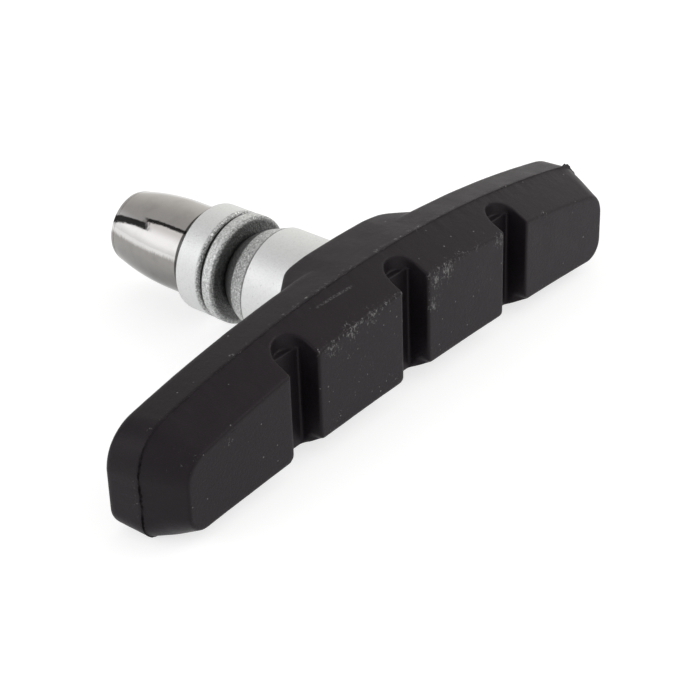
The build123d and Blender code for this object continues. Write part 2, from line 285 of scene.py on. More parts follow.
class Graph:
    """A node tree that is filled by calls."""

    def __init__(self, tree):
        self.tree = tree
        tree.nodes.clear()

    def add(self, kind, settings=None, inputs=None, output=0):
        """A node of this kind: its settings first, then the values or links of its sockets."""
        node = self.tree.nodes.new(kind)
        for name, value in (settings or {}).items():
            setattr(node, name, value)
        for key, value in (inputs or {}).items():
            if isinstance(value, Value):
                self.tree.links.new(value.socket, node.inputs[key])
            else:
                node.inputs[key].default_value = value
        return Value(self, node.outputs[output]) if node.outputs else None

    def stretch(self, vector, factors):
        """A vector with each component times its own factor."""
        return self.add("ShaderNodeVectorMath", {"operation": "MULTIPLY"}, {0: vector, 1: factors})

    def distance(self, vector, place):
        """Distance from a place, in the vector's own unit."""
        return self.add(
            "ShaderNodeVectorMath", {"operation": "DISTANCE"}, {0: vector, 1: place}, output="Value"
        )

    def position(self):
        """Place on the pad, in millimetres."""
        return self.stretch(self.add("ShaderNodeTexCoord", output="Object"), (1 / MM,) * 3)

    def axes(self, vector):
        """The three components of a vector."""
        parts = self.add("ShaderNodeSeparateXYZ", inputs={"Vector": vector})
        return parts, parts.out("Y"), parts.out("Z")

    def noise(self, vector, scale, detail=2.0, roughness=0.5):
        """Soft noise from 0 to 1, with this many waves to the vector's unit."""
        return self.add(
            "ShaderNodeTexNoise",
            inputs={"Vector": vector, "Scale": scale, "Detail": detail, "Roughness": roughness},
        )

    def cells(self, vector, scale):
        """Distance to the nearest of scattered points; the node's Color tells the points apart."""
        return self.add("ShaderNodeTexVoronoi", inputs={"Vector": vector, "Scale": scale}, output="Distance")

    def ease(self, value, low, high):
        """0 below low, 1 above high, and an eased rise between; turned round if low is the higher."""
        return self.add(
            "ShaderNodeMapRange",
            {"interpolation_type": "SMOOTHSTEP"},
            {"Value": value, "From Min": low, "From Max": high},
        )

    def mix(self, factor, first, second):
        """A colour between two colours."""
        return self.add("ShaderNodeMix", {"data_type": "RGBA"}, {0: factor, 6: first, 7: second}, output=2)

    def bump(self, height, depth):
        """A normal raised by height, which is this many metres deep from 0 to 1."""
        return self.add("ShaderNodeBump", inputs={"Distance": depth, "Height": height})

    def principled(self, **sockets):
        """A Principled shader; underscores in its sockets' names stand for spaces."""
        inputs = {}
        for name, value in sockets.items():
            inputs[name.replace("_", " ").title().replace("Ior", "IOR")] = value
        return self.add("ShaderNodeBsdfPrincipled", inputs=inputs)

    def surface(self, shader):
        """Makes a shader the material's surface."""
        self.add("ShaderNodeOutputMaterial", inputs={"Surface": shader})


def new_material(name):
    """An empty node material and the graph that fills it."""
    material = bpy.data.materials.new(name)
    material.use_nodes = True
    return material, Graph(material.node_tree)


# Materials, with places and widths in millimetres

# Chalky patches on the braking face: x along the pad, height and reach
CHALK_PATCHES = (
    (5.4, 5.7, 2.4),
    (3.3, 5.2, 2.2),
    (2.9, 2.6, 1.8),
    (-13.2, 5.4, 2.6),
    (-10.4, 6.0, 2.6),
    (-7.0, 6.2, 2.4),
    (-28.6, 2.4, 1.4),
    (14.6, 5.2, 2.0),
    (28.5, 2.6, 1.0),
    (23.1, 4.6, 1.0),
    (-33.2, 2.6, 0.6),
)
PATCH_LIFT = 0.15

# Middle of the stretch that is worn most
WORN_MIDDLE = -2.0

# Faint rubbed streak on the upper bevel: its depth, its middle along the pad and its lean
SCUFF_DEPTH = 3.4
SCUFF_MIDDLE = -8.8
SCUFF_LEAN = 0.06

# How strongly flakes, specks and the rubbed streak show
FLAKE_SHARE = 0.62
SPECK_SHARE = 0.45
SCUFF_SHARE = 0.3


def chalk_mask(graph, place, block):
    """How chalky the rubber is: flakes on worn patches and along its edges, partly a painted highlight
    there, and stray specks.
    """
    x, y, z = graph.axes(place)
    depth = y - FACE / MM
    worn = graph.ease(abs(x - WORN_MIDDLE), 19.0, 10.0)

    # Lighter along the face's upper rim and on sharp edges: chalk rubbed there, and partly a painted
    # highlight on the rounded edges
    rim = block.face_top / MM - x * x / (2 * block.top_rocker / MM)
    on_rim = graph.ease(abs(z - rim), 1.1, 0.0) * graph.ease(depth, 1.2, 0.1)
    lift = on_rim * (0.05 + worn * 0.05)
    for along, height, reach in CHALK_PATCHES:
        near = graph.ease(graph.distance(place, (along, FACE / MM, height)), reach, 0.1)
        lift = lift.at_least(near * PATCH_LIFT)
    parting = graph.ease(abs(depth - block.parting_depth / MM - 0.4), 0.7, 0.0)
    lift = lift.at_least(parting * (0.08 + worn * 0.05))
    edges = graph.ease(graph.add("ShaderNodeNewGeometry", output="Pointiness"), 0.52, 0.60)
    on_face = graph.ease(depth, 0.4, 0.1) * worn
    lift = lift + edges * 0.05 + on_face * 0.05

    drift = graph.noise(place, 0.25, 2.0)
    flakes = graph.noise(graph.stretch(place, (1.2, 1.0, 0.8)), 2.4, 8.0, 0.8)
    flaked = graph.ease(flakes + lift + (drift - 0.5) * 0.2, 0.66, 0.80)

    cell = graph.cells(place, 1.0)
    lot = graph.axes(cell.out("Color"))[0]
    specks = graph.ease(cell + (flakes - 0.5) * 0.3, 0.12, 0.04) * (lot + on_face * 0.45 > 0.86)

    past_middle = x - SCUFF_MIDDLE
    rub = graph.ease(abs(depth - SCUFF_DEPTH + past_middle * SCUFF_LEAN), 0.20, 0.04) * (z > 0.0)
    rub = rub * graph.ease(abs(past_middle), 3.0, 2.0) * graph.ease(flakes, 0.45, 0.60)
    return (flaked * FLAKE_SHARE).at_least(specks * SPECK_SHARE).at_least(rub * SCUFF_SHARE)


# Painted shadow line under the strip's edge: how much it shows along the pad, how much more at the pad's
# ends, and the distances from mid length over which that comes in
SHADOW_LINE_ALONG = 0.05
SHADOW_LINE_AT_ENDS = 0.69
SHADOWED_ENDS = (34.2, 35.4)


def shadow_line_mask(graph, place, block):
    """Painted shadow: a dark ragged line where the bevel runs under the strip's edge, deepest at the pad's
    ends.
    """
    x, y, _ = graph.axes(place)
    wobble = (graph.noise(place, 1.1, 4.0, 0.65) - 0.5) * 0.5
    depth = y - (FACE + block.parting_depth) / MM + wobble
    line = graph.ease(depth, -0.22, -0.12) * graph.ease(depth, 0.06, -0.02)
    ends = graph.ease(abs(x), *SHADOWED_ENDS)
    broken = graph.ease(graph.noise(place, 0.9, 3.0), 0.40, 0.60)
    return line * (SHADOW_LINE_ALONG + ends * SHADOW_LINE_AT_ENDS) * (0.3 + broken * 0.7)


def moulded_rubber(settings):
    """Black rubber with a fine moulded grain, a greyer bloom, chalk on its worn edges, and a painted shadow
    line under the strip's edge.
    """
    finishes = settings.finishes
    material, graph = new_material("moulded_rubber")
    place = graph.position()
    chalk = chalk_mask(graph, place, settings.block)
    shadow_line = shadow_line_mask(graph, place, settings.block)
    mottle = graph.noise(place, 0.4, 4.0, 0.6)
    grain = graph.noise(place, 7.0, 3.0, 0.65)
    pits = graph.noise(place, 2.4, 2.0, 0.5)
    bloom = graph.ease(mottle, 0.3, 0.75) * 0.6 + grain * 0.4
    skin = graph.mix(bloom, finishes.rubber, finishes.rubber_bloom)
    grain_depth = 0.035 * MM
    rubber = graph.principled(
        base_color=graph.mix(chalk, skin, finishes.dust_and_highlight),
        roughness=finishes.rubber_roughness + (mottle - 0.5) * 0.2 + (grain - 0.5) * 0.16 + chalk * 0.2,
        specular_ior_level=finishes.rubber_gloss,
        specular_tint=finishes.rubber_sheen,
        normal=graph.bump(grain * 0.6 + pits * 0.4 + chalk * 0.6, grain_depth),
    )
    # Near-black shader for the painted shadow line
    painted_shadow = graph.principled(base_color=(0.002, 0.002, 0.002, 1.0), roughness=1.0, specular_ior_level=0.0)
    graph.surface(graph.add("ShaderNodeMixShader", inputs={0: shadow_line, 1: rubber, 2: painted_shadow}))
    return material


def satin_zinc(name, settings, finish):
    """Satin plating with a tumbled sparkle and painted glints; finish gives how coarse it is at a place and
    how much painted shade it takes there.
    """
    finishes = settings.finishes
    material, graph = new_material(name)
    place = graph.position()
    coarse, dark = finish(graph, place)
    grains = graph.cells(place, 4.0)
    sparkle = graph.noise(place, 12.0, 3.0, 0.65)
    smear = graph.noise(place, 0.6, 3.0)
    specks = graph.ease(graph.noise(place, 3.4, 2.0), 0.66, 0.74) * 0.25
    hollow = graph.ease(grains, 0.30, 0.80) * (0.06 + coarse * 0.4)
    hollow = hollow + (sparkle - 0.5) * (0.2 + coarse * 0.8) + specks
    plated = graph.mix(hollow + coarse * 0.32, finishes.zinc, finishes.zinc_shade)
    # Painted glints: bright points painted on the coarse plating
    painted_glints = graph.ease(graph.noise(place, 4.5, 2.0), 0.56, 0.63) * coarse * 0.9
    plated = graph.mix(painted_glints, plated, finishes.painted_glint)
    height = (1 - grains) * 0.6 + sparkle * 0.4
    grain_depth = 0.13 * MM
    graph.surface(
        graph.principled(
            # Painted shade from the finish, mixed towards the near-black shade colour
            base_color=graph.mix(dark, plated, finishes.shade_and_grime),
            metallic=0.8,
            roughness=finishes.zinc_roughness + (smear - 0.5) * 0.1 + (sparkle - 0.5) * 0.2 - coarse * 0.05,
            normal=graph.bump(height * (0.15 + coarse * 0.85), grain_depth),
        )
    )
    return material


# Painted reflection of a bright belt on the nut's sides: heights over which it fades out above and comes in
# below
BELT_HEAD = (3.8, 2.8)
BELT_FOOT = (1.0, 1.5)

# Distance from the nut's base over which the painted shade at the joint comes in
NUT_JOINT_SHADE = (0.68, 0.54)


def polished_chrome(settings, base):
    """Mirror plating with painted reflections: a bright belt on its sides, a dark one under it, and painted
    shade by the joint at its base.
    """
    finishes = settings.finishes
    material, graph = new_material("polished_chrome")
    place = graph.position()
    smudge = graph.ease(graph.noise(place, 0.5, 4.0, 0.6), 0.4, 0.8)
    ripple = graph.noise(place, 2.2, 3.0, 0.6)
    hairline = graph.noise(graph.stretch(place, (1.0, 12.0, 1.0)), 1.5, 3.0)
    _, y, z = graph.axes(place)
    ragged = z + (hairline - 0.5) * 0.8
    belt = graph.ease(z, *BELT_HEAD) * graph.ease(ragged, *BELT_FOOT)
    # Painted dark reflection over the nut's lower side
    under = graph.ease(ragged, *reversed(BELT_FOOT)) * 0.33 + graph.ease(z, 1.0, -4.0) * 0.5
    # Painted shade by the joint with the washer
    joint = graph.ease(y - base / MM, *NUT_JOINT_SHADE) * 0.9
    plating = graph.mix(belt, finishes.chrome, finishes.chrome_reflection)
    plating = graph.mix(smudge * 0.12 + under, plating, finishes.shade_and_grime)
    ripple_depth = 0.007 * MM
    graph.surface(
        graph.principled(
            base_color=graph.mix(joint, plating, finishes.shade_and_grime),
            metallic=1.0,
            roughness=finishes.chrome_roughness + smudge * 0.05,
            normal=graph.bump(ripple * 0.8 + hairline * 0.2, ripple_depth),
        )
    )
    return material


def plated_steel(settings):
    """Dull plated steel with a drawn grain, for the stud and the insert plate."""
    finishes = settings.finishes
    material, graph = new_material("plated_steel")
    place = graph.position()
    drawn = graph.noise(graph.stretch(place, (6.0, 0.6, 6.0)), 1.0, 4.0)
    stain = graph.noise(place, 0.35, 3.0)
    grain_depth = 0.01 * MM
    graph.surface(
        graph.principled(
            base_color=graph.mix(graph.ease(stain, 0.35, 0.75) * 0.5, finishes.steel, finishes.zinc_shade),
            metallic=1.0,
            roughness=finishes.steel_roughness + (drawn - 0.5) * 0.25,
            normal=graph.bump(drawn, grain_depth),
        )
    )
    return material


# Meshes


def new_piece(name, bm, material=None):
    """Object made from a mesh that is built, with its faces turned outwards."""
    bmesh.ops.recalc_face_normals(bm, faces=bm.faces)
    mesh = bpy.data.meshes.new(name)
    bm.to_mesh(mesh)
    bm.free()
    piece = bpy.data.objects.new(name, mesh)
    bpy.context.scene.collection.objects.link(piece)
    if material:
        mesh.materials.append(material)
    return piece


def skin_rings(bm, rings):
    """Walls from each closed ring of vertices to the next."""
    count = len(rings[0])
    for near, far in zip(rings, rings[1:]):
        for i in range(count):
            j = (i + 1) % count
            bm.faces.new((near[i], near[j], far[j], far[i]))


def skin_loops(bm, loops):
    """Closed skin over closed loops of equal length, capped at both ends."""
    rings = [[bm.verts.new(point) for point in loop] for loop in loops]
    skin_rings(bm, rings)
    bm.faces.new(rings[0])
    bm.faces.new(rings[-1])


def settle(piece):
    """Replaces a piece's mesh by what its modifiers make of it."""
    bpy.context.view_layer.update()
    made = piece.evaluated_get(bpy.context.evaluated_depsgraph_get())
    mesh = bpy.data.meshes.new_from_object(made)
    piece.modifiers.clear()
    old = piece.data
    piece.data = mesh
    bpy.data.meshes.remove(old)


def resize(piece, factor):
    """Scales a piece's mesh about the origin."""
    piece.data.transform(Matrix.Scale(factor, 4))


def cut(piece, cutters):
    """Cuts the cutters out of a piece and throws them away; the piece is left in millimetres."""
    for part in [piece, *cutters]:
        resize(part, 1 / MM)
    for cutter in cutters:
        modifier = piece.modifiers.new("cut", "BOOLEAN")
        modifier.operation = "DIFFERENCE"
        modifier.solver = "EXACT"
        modifier.object = cutter
    settle(piece)
    for cutter in cutters:
        mesh = cutter.data
        bpy.data.objects.remove(cutter)
        bpy.data.meshes.remove(mesh)


def read_rows(items, field, kind, width):
    """One field of a mesh's items, as an array with a row for each item."""
    values = np.empty(len(items) * width, kind)
    items.foreach_get(field, values)
    return values.reshape(-1, width)


def soften_edges(mesh, rounds, convex=0.5, concave=0.2):
    """Rounds a dense mesh's outer edges and leaves its inner corners crisper."""
    places = read_rows(mesh.vertices, "co", float, 3)
    normals = read_rows(mesh.vertex_normals, "vector", float, 3)
    edges = read_rows(mesh.edges, "vertices", int, 2)
    count = len(places)
    near = np.concatenate((edges[:, 0], edges[:, 1]))
    far = np.concatenate((edges[:, 1], edges[:, 0]))
    degree = np.bincount(near, minlength=count)
    for _ in range(rounds):
        means = [np.bincount(near, places[far, axis], count) / degree for axis in range(3)]
        shift = np.stack(means, axis=1) - places
        inward = (shift * normals).sum(axis=1) < 0
        places += shift * np.where(inward, convex, concave)[:, None]
    mesh.vertices.foreach_set("co", places.ravel())
    mesh.update()


def sink_skin(mesh, amount):
    """Sinks a moulded skin here and there by up to this amount, in broad waves and small dents."""
    normals = [normal.vector.copy() for normal in mesh.vertex_normals]
    for vertex, normal in zip(mesh.vertices, normals):
        place = vertex.co / MM
        wave = 0.5 + 0.5 * noise.noise(place * 0.35)
        dent = 0.5 + 0.5 * noise.noise(place * 1.3)
        vertex.co -= normal * (amount * (0.65 * wave + 0.35 * dent))
    mesh.update()


def finish_piece(piece, node, sharp=None):
    """Shades a piece smoothly, up to a sharp angle in degrees if given, and lets it stand for its node."""
    piece.data.shade_smooth()
    if sharp is not None:
        piece.data.set_sharp_from_angle(angle=radians(sharp))
    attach(piece, "root")
    if node:
        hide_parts(node)


def arc(centre, radius, start, end, steps):
    """Points along an arc from one angle to another, in a plane."""
    turns = (start + (end - start) * i / steps for i in range(steps + 1))
    return [(centre[0] + radius * cos(a), centre[1] + radius * sin(a)) for a in turns]


def waver(x, z, waves, layer):
    """Noise from -1 to 1 round the pad's outline, with this many waves to the millimetre."""
    return noise.noise((x / MM * waves, z / MM * waves, layer))


# Rubber block

# How far the parting line wanders, and how far behind it the boss's wall starts
PARTING_WANDER = 0.1 * MM
BOSS_ROOT = 0.4 * MM

# How far cutters and the boss run on past the block's skin
OVERRUN = 1 * MM

# Rounds of softening on the moulded skin, and the share of its faces that is kept
SOFTENING_ROUNDS = 8
KEPT_FACES = 0.28


class Section(NamedTuple):
    """Outline of the block at one depth."""

    depth: float
    length: float
    top: float
    bottom: float
    top_corner: float
    bottom_corner: float

    def towards(self, other, part):
        """The section part of the way to another one."""
        return Section(*(a + (b - a) * part for a, b in zip(self, other)))

    def inset(self, amount):
        """The section drawn in by this much all round."""
        return Section(self.depth, self.length - 2 * amount, *(size - amount for size in self[2:]))


def upper_edge(x, top, block):
    """Height of a humped upper edge."""
    return top - block.top_rocker + sqrt(block.top_rocker**2 - x**2)


def lower_edge(x, bottom, block):
    """Height of a hollow lower edge."""
    return -bottom - block.bottom_rocker + sqrt(block.bottom_rocker**2 - x**2)


def outline(section, block, long_steps=240, short_steps=40):
    """Closed outline of the block at one depth, as (x, z), from the middle of its upper edge."""
    half = section.length / 2
    upper = section.top - block.top_rocker
    lower = -section.bottom - block.bottom_rocker
    x_top = half - section.top_corner
    z_top = upper + sqrt((block.top_rocker - section.top_corner) ** 2 - x_top**2)
    x_low = half - section.bottom_corner
    z_low = lower + sqrt((block.bottom_rocker + section.bottom_corner) ** 2 - x_low**2)
    lean_top = atan2(z_top - upper, x_top)
    lean_low = atan2(z_low - lower, x_low)
    right = arc((0, upper), block.top_rocker, pi / 2, lean_top, long_steps)
    right += arc((x_top, z_top), section.top_corner, lean_top, 0, short_steps)[1:]
    right += [(half, z_top + (z_low - z_top) * i / short_steps) for i in range(1, short_steps + 1)]
    right += arc((x_low, z_low), section.bottom_corner, 0, lean_low - pi, short_steps)[1:]
    right += arc((0, lower), block.bottom_rocker, lean_low, pi / 2, long_steps)[1:]
    return right + [(-x, z) for x, z in reversed(right[1:-1])]


def parting_section(block):
    """The block's outline at its parting line."""
    return Section(
        block.parting_depth, block.parting_length, block.parting_top, block.parting_bottom,
        block.top_corner, block.bottom_corner,
    )


def sections(block, steps=6):
    """The block's outlines from the braking face to its rounded back."""
    face = Section(
        0.0, block.face_length, block.face_top, block.face_bottom, block.face_corner, block.bottom_corner
    )
    parting = parting_section(block)
    back = parting._replace(
        depth=block.back_depth, length=block.back_length, top=block.back_top, bottom=block.back_bottom
    )
    shoulder = face.towards(parting, block.shoulder_depth / block.parting_depth)
    shoulder = shoulder._replace(bottom=block.parting_bottom, bottom_corner=block.shoulder_corner)
    made = [face, shoulder, parting.inset(block.ledge), parting]
    strip = block.back_depth - block.parting_depth
    for i in range(steps + 1):
        turn = pi / 2 * i / steps
        fall = block.back_round * (1 - sin(turn))
        made.append(parting.towards(back, 1 - fall / strip).inset(block.back_round * (1 - cos(turn))))
    return made


def block_loop(section, block):
    """Outline of the block in its place, ragged where it is the parting line."""
    wander = PARTING_WANDER if section.depth == block.parting_depth else 0.0
    loop = []
    for x, z in outline(section, block):
        sway = waver(x, z, 0.8, 3.1) + 0.6 * waver(x, z, 2.6, 7.7)
        loop.append((x, FACE + section.depth + wander * sway, z))
    return loop


def boss_height(x, block):
    """Depth of the boss's top from the braking face at one place along the pad."""
    top = SEAT - FACE
    rise = top - block.back_depth
    run = (block.boss_foot - block.boss_length) / 2
    slope = atan2(rise, run)
    flat = block.boss_length / 2 - block.boss_round * tan(slope / 2)
    if x <= flat:
        return top
    if x <= flat + block.boss_round * sin(slope):
        return top - block.boss_round + sqrt(block.boss_round**2 - (x - flat) ** 2)
    return top - (x - block.boss_length / 2) * rise / run


def boss_loop(x, block, steps=6):
    """Section of the boss across the pad at one place along it, with a rounded rim."""
    top = boss_height(abs(x), block)
    root = block.parting_depth + BOSS_ROOT
    slope = (block.parting_top - block.back_top) / (block.back_depth - block.parting_depth)
    straight = block.boss_length * 0.3
    past = max(0.0, (abs(x) - straight) / (block.boss_foot / 2 - straight))
    reach = block.boss_rise - block.boss_nose * past**1.2
    r = block.boss_rim
    foot = upper_edge(x, block.parting_top, block) - slope * (root - block.parting_depth)
    high = foot - slope * (top - r - root) + reach
    low = lower_edge(x, block.back_bottom, block) - min(0.0, reach)
    line = [(root, low)]
    line += arc((top - r, low + r), r, -pi / 2, 0, steps)
    line += arc((top - r, high - r), r, 0, pi / 2, steps)
    line += [(root, foot)]
    return [(x, FACE + depth, z) for depth, z in line]


def groove_cutter(loops):
    """Upright cutter over closed (x, depth) loops, given by their heights."""
    bm = bmesh.new()
    skin_loops(bm, [[(x, FACE + depth, z) for x, depth in loop] for z, loop in loops])
    return new_piece("groove_cutter", bm)


def groove_cutters(x, block):
    """Cutters for one groove: a slot with a flared foot, and a half-round scoop out through the bevel."""
    foot = lower_edge(x, block.face_bottom, block)
    top = upper_edge(x, block.parting_top, block)
    step = top - block.scoop_fall
    half = block.groove_width / 2
    deep = block.groove_depth
    r = block.groove_flare

    def slot(flare):
        right = [(half + flare, -OVERRUN), (half + flare, 0.0), (half, deep * 0.6), (half, deep)]
        left = [(-across, depth) for across, depth in reversed(right)]
        return [(x + across, depth) for across, depth in right + left]

    under = (foot - 4 * OVERRUN, slot(r))
    flare = [(foot + z, slot(r + w)) for w, z in arc((0, r), r, -pi / 2, -pi, 6)]
    scoop = arc((x, block.scoop_depth - half), half, 0, pi, 24)
    scoop = [(x - half, -OVERRUN), (x + half, -OVERRUN), *scoop]
    return [
        groove_cutter([under, *flare, (step, slot(0.0))]),
        groove_cutter([(step, scoop), (top + OVERRUN, scoop)]),
    ]


def make_block(settings, material):
    """Rubber block: lofted walls, boss and grooves, drawn over with one fine moulded skin."""
    block = settings.block
    bm = bmesh.new()
    skin_loops(bm, [block_loop(section, block) for section in sections(block)])
    piece = new_piece("rubber_block", bm)
    cutters = []
    for index in (-1, 0, 1):
        cutters += groove_cutters(index * block.groove_pitch, block)
    cut(piece, cutters)

    bm = bmesh.new()
    bm.from_mesh(piece.data)
    reach = block.boss_foot / 2 + OVERRUN
    steps = 120
    places = (-reach + 2 * reach * i / steps for i in range(steps + 1))
    skin_loops(bm, [[Vector(p) / MM for p in boss_loop(x, block)] for x in places])
    bmesh.ops.recalc_face_normals(bm, faces=bm.faces)
    bm.to_mesh(piece.data)
    bm.free()

    skin = piece.modifiers.new("skin", "REMESH")
    skin.mode = "VOXEL"
    skin.voxel_size = block.voxel / MM
    settle(piece)
    soften_edges(piece.data, SOFTENING_ROUNDS)
    thin = piece.modifiers.new("thin", "DECIMATE")
    thin.ratio = KEPT_FACES
    settle(piece)
    resize(piece, MM)
    sink_skin(piece.data, block.waviness)
    piece.data.materials.clear()
    piece.data.materials.append(material)
    finish_piece(piece, "brake_block")


# Flash on the parting line: how far it is set in, how far its tip sways, and where its torn nib is
FLASH_INSET = 0.05 * MM
FLASH_SWAY = 0.06 * MM
NIB_X = 33.9 * MM
NIB_Z = 4.9 * MM
NIB_REACH = 0.8 * MM


def fringe_height(x, z, flash):
    """Height of the flash at one place on the parting line: a low fringe with torn peaks."""
    wave = waver(x, z, 0.35, 1.7)
    tooth = waver(x, z, 2.1, 5.3)
    height = flash.fringe + flash.tatter * max(0.0, 0.5 * wave + 0.7 * tooth)
    away = hypot(x - NIB_X, z - NIB_Z) / NIB_REACH
    return height + flash.nib * min(1.0, max(0.0, 1.6 - away)) * (0.75 + 0.5 * tooth)


def make_flash(settings, material):
    """Thin ragged flash all round the parting line."""
    block = settings.block
    flash = settings.flash
    line = outline(parting_section(block).inset(FLASH_INSET), block, long_steps=700, short_steps=90)
    depth = FACE + block.parting_depth
    edge = flash.thickness * 0.2
    low, high = CAD_BOX
    bm = bmesh.new()
    rings = []
    for i, (x, z) in enumerate(line):
        before, after = line[i - 1], line[(i + 1) % len(line)]
        run = Vector((after[0] - before[0], after[1] - before[1])).normalized()
        out = Vector((-run.y, run.x))
        root = Vector((x, z)) - out * flash.root
        tip = Vector((x, z)) + out * fringe_height(x, z, flash)
        tip_x = min(max(tip.x, low.x), high.x)
        tip_z = min(max(tip.y, low.z), high.z)
        tip_y = depth + waver(x, z, 0.9, 9.1) * FLASH_SWAY
        ring = (
            (root.x, depth - flash.thickness, root.y),
            (tip_x, tip_y - edge, tip_z),
            (tip_x, tip_y + edge, tip_z),
            (root.x, depth + flash.thickness, root.y),
        )
        rings.append([bm.verts.new(point) for point in ring])
    skin_rings(bm, [*rings, rings[0]])
    piece = new_piece("parting_flash", bm, material)
    finish_piece(piece, None, sharp=40)


# Turned hardware


def round_corners(corners, steps=8, support=0.05 * MM):
    """Outline through (radius, y, rounding) corners, each rounded and held by a near point on both sides."""
    line = []
    count = len(corners)
    for i, (r, y, rounding) in enumerate(corners):
        here = Vector((r, y))
        before = (Vector(corners[i - 1][:2]) - here).normalized()
        after = (Vector(corners[(i + 1) % count][:2]) - here).normalized()
        half = before.angle(after) / 2
        if rounding <= 0 or half > radians(89):
            line.append(here)
            continue
        back = rounding / tan(half)
        centre = here + (before + after).normalized() * (rounding / sin(half))
        start = here + before * back - centre
        sweep = start.angle_signed(here + after * back - centre)
        line.append(here + before * (back + support))
        for k in range(steps + 1):
            line.append(centre + Matrix.Rotation(-sweep * k / steps, 2) @ start)
        line.append(here + after * (back + support))
    return line


def ball_points(centre, radius, start, end, side, steps=14):
    """Corners along a ball seat between two distances from the axis, on its +Y or -Y side."""
    a, b = asin(start / radius), asin(end / radius)
    turns = (a + (b - a) * i / steps for i in range(steps + 1))
    return [(radius * sin(t), centre + side * radius * cos(t), 0.0) for t in turns]


def turned(name, line, material, segments=256, shape=None):
    """Piece turned about the stud's axis from a closed outline; shape may change the radius by the angle."""
    bm = bmesh.new()
    rings = []
    for k in range(segments):
        a = 2 * pi * k / segments
        ring = []
        for r, y in line:
            radius = shape(r, y, a) if shape else r
            ring.append(bm.verts.new((radius * cos(a), y, radius * sin(a))))
        rings.append(ring)
    skin_rings(bm, [*rings, rings[0]])
    bmesh.ops.remove_doubles(bm, verts=bm.verts, dist=1e-7)
    return new_piece(name, bm, material)


def make_washer(settings, name, node, corners, plating, finish):
    """Plated washer or spacer, turned from its corners, with the finish that its plating takes."""
    piece = turned(name, round_corners(corners), satin_zinc(plating, settings, finish))
    finish_piece(piece, node, sharp=35)


def inner_ball(hardware):
    """Places along the stud where the spacer's wall ends and its ball starts, and of the ball's centre."""
    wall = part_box("ball_spacer")[0].y + hardware.spacer_length
    rim = wall + hardware.spacer_taper
    return wall, rim, rim - sqrt(hardware.inner_ball**2 - hardware.spacer_rim**2)


def outer_seat(hardware):
    """Radius of the outer cup's hollow seat, and the place of its centre along the stud."""
    radius = hardware.outer_ball + hardware.seat_clearance
    return radius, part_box("outer_cup_washer")[1].y + sqrt(radius**2 - hardware.outer_mouth**2)


def from_axis(graph, place):
    """Distance from the stud's axis."""
    x, _, z = graph.axes(place)
    return (x * x + z * z) ** 0.5


def rear_rim(graph, place, high, width):
    """Thin shadow round a washer's rear rim, where the next piece meets it."""
    y = graph.axes(place)[1]
    start = high.y / MM - width
    rim = high.x / MM
    return graph.ease(y, start, start + 0.09) * graph.ease(from_axis(graph, place), rim - 0.45, rim - 0.25)


def make_spacer(settings):
    """Long satin spacer: straight wall, crisp edge, tapered end and ball."""
    hardware = settings.hardware
    low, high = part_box("ball_spacer")
    wall, rim, centre = inner_ball(hardware)
    foot_round = 0.25 * MM
    corners = [
        (hardware.bore, low.y, hardware.crisp_edge),
        (high.x, low.y, foot_round),
        (high.x, wall, hardware.crisp_edge),
        *ball_points(centre, hardware.inner_ball, hardware.spacer_rim, hardware.bore, 1),
    ]

    def finish(graph, place):
        y = graph.axes(place)[1]
        past_edge = graph.ease(y, wall / MM - 0.05, wall / MM + 0.05)
        edge_shade = graph.ease(y, wall / MM + 0.4, wall / MM + 0.1) * past_edge
        ball = graph.ease(y, rim / MM - 0.25, rim / MM)
        # Coarse past the crisp edge; painted shade in a band next to that edge and on the ball inside the
        # cup
        return past_edge * 0.8, edge_shade * 0.6 + ball * 0.82

    make_washer(settings, "ball_spacer_turned", "ball_spacer", corners, "satin_spacer", finish)


def make_inner_cup(settings):
    """Thin granular cup that takes the spacer's ball."""
    hardware = settings.hardware
    low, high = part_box("inner_cup_washer")
    centre = inner_ball(hardware)[2]
    seat_radius = hardware.inner_ball + hardware.seat_clearance
    corners = [
        *ball_points(centre, seat_radius, hardware.swivel_bore, hardware.inner_mouth, 1),
        (high.x, low.y, hardware.inner_round),
        (high.x, high.y, hardware.inner_round),
        (hardware.swivel_bore, high.y, 0.0),
    ]

    def finish(graph, place):
        y = graph.axes(place)[1]
        radius = from_axis(graph, place)
        front = graph.ease(y, low.y / MM + 0.35, low.y / MM + 0.15)
        dish = graph.ease(radius, high.x / MM - 0.2, high.x / MM - 0.7)
        seat = graph.ease(radius, hardware.inner_mouth / MM + 0.8, hardware.inner_mouth / MM)
        rear = rear_rim(graph, place, high, 0.36)
        # Coarse all over, most on its front; painted shade on its front face, in its dish and seat, and
        # round its rear rim
        return front * 0.25 + 0.6, front * 0.32 + dish * 0.42 + seat * 0.2 + rear * 0.9

    make_washer(settings, "inner_cup_turned", "inner_cup_washer", corners, "granular_cup", finish)


